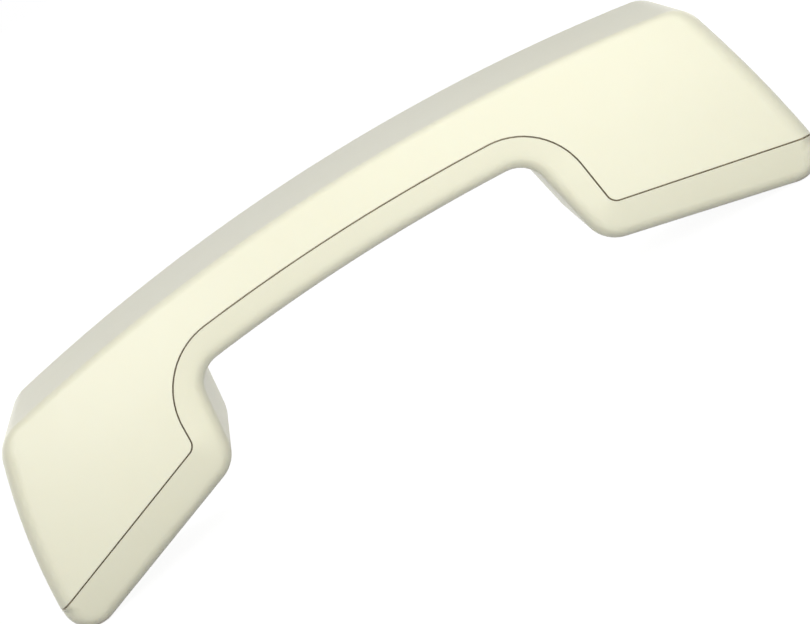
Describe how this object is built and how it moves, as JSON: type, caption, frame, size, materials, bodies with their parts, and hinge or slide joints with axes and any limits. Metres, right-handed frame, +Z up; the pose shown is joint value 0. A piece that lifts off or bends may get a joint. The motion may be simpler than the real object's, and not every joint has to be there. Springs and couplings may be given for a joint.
{
  "type": "telephone handset",
  "caption": "Wired telephone handset in two moulded covers, with a curved grip, a receiver in the ear cap, a microphone in the mouth cap and a square cord socket in the mouth end.",
  "frame": {"origin": "centre of the footprint, on the surface that the handset lies on with its two caps down", "axes": "+X along the handset to the ear end, +Y across it, +Z up to its back"},
  "size_m": [0.2166, 0.053, 0.0619],
  "materials": {
    "ivory_plastic": "fine moulded satin",
    "screw_steel": "zinc plated",
    "weight_steel": "oiled bar",
    "foam": "closed-cell foam",
    "gasket_rubber": "matt",
    "cloth": "woven acoustic cloth",
    "unit_plastic": "moulded",
    "diaphragm_film": "pressed film",
    "copper_wire": "enamelled winding",
    "magnet_steel": "nickel plated",
    "brass_plate": "pressed",
    "capsule_can": "drawn",
    "felt": "felt",
    "board_laminate": "solder mask",
    "component_body": "moulded",
    "socket_plastic": "moulded",
    "gold_contact": "gold plated",
    "black_lead": "smooth",
    "red_lead": "smooth",
    "white_lead": "smooth",
    "green_lead": "smooth"
  },
  "bodies": {
    "handset": {"rear_cover": "ivory_plastic", "front_cover": "ivory_plastic", "cover_screws": "screw_steel", "counterweight": "weight_steel", "counterweight_screws": "screw_steel", "counterweight_pad": "foam", "receiver_gasket": "gasket_rubber", "receiver_cloth": "cloth", "receiver_grille": "unit_plastic", "receiver_pole_plate": "magnet_steel", "receiver_magnet": "magnet_steel", "receiver_yoke": "magnet_steel", "receiver_frame": "unit_plastic", "receiver_clamp": "screw_steel", "clamp_screws": "screw_steel", "receiver_terminals": "brass_plate", "hearing_aid_coil": "copper_wire", "microphone_felt": "felt", "microphone_capsule": "capsule_can", "microphone_boot": "gasket_rubber", "microphone_board": "board_laminate", "board_screws": "screw_steel", "board_components": "component_body", "jack_housing": "socket_plastic", "jack_contacts": "gold_contact", "microphone_lead_black": "black_lead", "microphone_lead_red": "red_lead", "receiver_lead_white": "white_lead", "receiver_lead_green": "green_lead"},
    "diaphragm": {"receiver_diaphragm": "diaphragm_film", "voice_coil": "copper_wire"}
  },
  "joints": [
    {"name": "diaphragm_travel", "type": "slide", "parent": "handset", "child": "diaphragm", "axis": [0.2622, 0, 0.965], "range_m": [-0.0002, 0.0002], "stiffness_N_per_m": 800}
  ]
}
